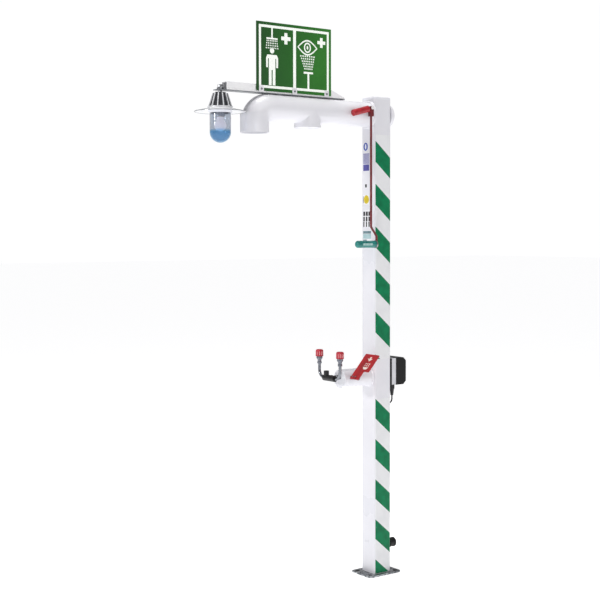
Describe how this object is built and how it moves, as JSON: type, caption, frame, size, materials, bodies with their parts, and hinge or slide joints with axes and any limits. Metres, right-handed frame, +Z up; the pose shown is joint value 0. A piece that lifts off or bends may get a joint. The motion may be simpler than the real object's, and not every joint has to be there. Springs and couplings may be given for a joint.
{
  "type": "emergency safety shower",
  "caption": "Floor-standing emergency safety shower: an insulated column and arm with a drench outlet worked by a pull rod, an eyewash with a push plate, a sign and a lamp.",
  "frame": {"origin": "centre of the four floor-bolt holes, on the underside of the base plate, which is also the column axis", "axes": "+Z up along the column, -Y along the arm toward the shower outlet and the user, +X the side with the lever, the pull rod and the push plate"},
  "size_m": [0.2705, 1.1713, 2.645],
  "materials": {
    "arm_collar": "smooth white",
    "arm_elbow": "smooth white shell",
    "arm_foam": "rigid yellow foam",
    "arm_pipes": "galvanised",
    "arm_stub": "smooth white shell",
    "arm_tee": "smooth white shell",
    "back_cap": "smooth white",
    "base_plate": "galvanised, mottled grey",
    "cable_glands": "black moulding",
    "column_foam": "rigid yellow foam",
    "column_jacket": "smooth white shell",
    "column_top_cap": "smooth white",
    "drench_lever": "dark red coat",
    "drench_lever_pin": "polished",
    "drench_lever_sleeve": "bright red sleeve",
    "drench_stem": "polished",
    "drench_valve_ball": "polished",
    "drench_valve_body": "as cast",
    "eyewash_branch": "smooth white shell",
    "eyewash_branch_cap": "smooth white",
    "eyewash_cap_left": "red ribbed moulding",
    "eyewash_cap_right": "red ribbed moulding",
    "eyewash_manifold": "black moulding",
    "eyewash_nozzles": "bright plated",
    "eyewash_pipes": "galvanised",
    "eyewash_spray_discs": "bright plated",
    "eyewash_tubes": "bright plated",
    "eyewash_valve_ball": "polished",
    "eyewash_valve_body": "as cast",
    "front_labels": "printed film",
    "hazard_tape": "printed film",
    "heating_cable": "black sheath",
    "inlet_socket": "black coated",
    "junction_box_base": "light grey moulding",
    "junction_box_cover": "black moulding",
    "junction_box_screws": "bright steel",
    "lamp_bulb": "frosted, blue lower part",
    "lamp_canopy": "cast, light grey",
    "lamp_collar": "white moulding",
    "lamp_glass": "clear",
    "lamp_hanger": "bright steel",
    "lamp_holder": "white moulding",
    "lamp_reflector": "white enamel",
    "pull_ferrule": "turned",
    "pull_grip": "teal moulding",
    "pull_rod": "dark red coat",
    "push_plate": "red coat",
    "push_plate_screws": "bright steel",
    "push_plate_stem": "bright steel",
    "rail_saddles": "galvanised",
    "riser_pipe": "galvanised",
    "riser_top_elbow": "galvanised",
    "shower_rose": "satin stainless",
    "sign_panel": "green gloss",
    "sign_screws": "bright steel",
    "sign_stiffeners": "white coat",
    "sign_tabs": "white coat",
    "support_rail": "satin galvanised",
    "tee_plug": "smooth white",
    "terminal_block": "grey moulding"
  },
  "bodies": {
    "frame_body": {"arm_collar": "arm_collar", "arm_elbow": "arm_elbow", "arm_foam": "arm_foam", "arm_pipes": "arm_pipes", "arm_stub": "arm_stub", "arm_tee": "arm_tee", "back_cap": "back_cap", "base_plate": "base_plate", "cable_glands": "cable_glands", "column_foam": "column_foam", "column_jacket": "column_jacket", "column_top_cap": "column_top_cap", "drench_valve_body": "drench_valve_body", "eyewash_branch": "eyewash_branch", "eyewash_branch_cap": "eyewash_branch_cap", "eyewash_manifold": "eyewash_manifold", "eyewash_nozzles": "eyewash_nozzles", "eyewash_pipes": "eyewash_pipes", "eyewash_spray_discs": "eyewash_spray_discs", "eyewash_tubes": "eyewash_tubes", "eyewash_valve_body": "eyewash_valve_body", "front_labels": "front_labels", "hazard_tape": "hazard_tape", "heating_cable": "heating_cable", "inlet_socket": "inlet_socket", "junction_box_base": "junction_box_base", "junction_box_cover": "junction_box_cover", "junction_box_screws": "junction_box_screws", "lamp_bulb": "lamp_bulb", "lamp_canopy": "lamp_canopy", "lamp_collar": "lamp_collar", "lamp_glass": "lamp_glass", "lamp_hanger": "lamp_hanger", "lamp_holder": "lamp_holder", "lamp_reflector": "lamp_reflector", "rail_saddles": "rail_saddles", "riser_pipe": "riser_pipe", "riser_top_elbow": "riser_top_elbow", "shower_rose": "shower_rose", "sign_panel": "sign_panel", "sign_screws": "sign_screws", "sign_stiffeners": "sign_stiffeners", "sign_tabs": "sign_tabs", "support_rail": "support_rail", "tee_plug": "tee_plug", "terminal_block": "terminal_block"},
    "drench_lever_body": {"drench_lever": "drench_lever", "drench_lever_pin": "drench_lever_pin", "drench_lever_sleeve": "drench_lever_sleeve", "drench_stem": "drench_stem", "drench_valve_ball": "drench_valve_ball"},
    "pull_rod_body": {"pull_rod": "pull_rod", "pull_ferrule": "pull_ferrule", "pull_grip": "pull_grip"},
    "push_plate_body": {"push_plate": "push_plate", "push_plate_stem": "push_plate_stem", "push_plate_screws": "push_plate_screws", "eyewash_valve_ball": "eyewash_valve_ball"},
    "left_cap": {"eyewash_cap_left": "eyewash_cap_left"},
    "right_cap": {"eyewash_cap_right": "eyewash_cap_right"}
  },
  "joints": [
    {"name": "drench_lever_turn", "type": "hinge", "parent": "frame_body", "child": "drench_lever_body", "pos_m": [0.082, -0.192, 2.258], "axis": [-1, 0, 0], "range_deg": [0, 90]},
    {"name": "pull_rod_hang", "type": "hinge", "parent": "drench_lever_body", "child": "pull_rod_body", "pos_m": [0.082, -0.10024, 2.28259], "axis": [-1, 0, 0], "range_deg": [-90, 0]},
    {"name": "push_plate_turn", "type": "hinge", "parent": "frame_body", "child": "push_plate_body", "pos_m": [0.052, -0.19, 0.987], "axis": [-1, 0, 0], "range_deg": [0, 90]},
    {"name": "left_cap_lift", "type": "slide", "parent": "frame_body", "child": "left_cap", "axis": [0, 0, 1], "range_m": [0, 0.04]},
    {"name": "right_cap_lift", "type": "slide", "parent": "frame_body", "child": "right_cap", "axis": [0, 0, 1], "range_m": [0, 0.04]}
  ],
  "couplings": [
    {"joint": "pull_rod_hang", "follows": "drench_lever_turn", "ratio": -1}
  ]
}
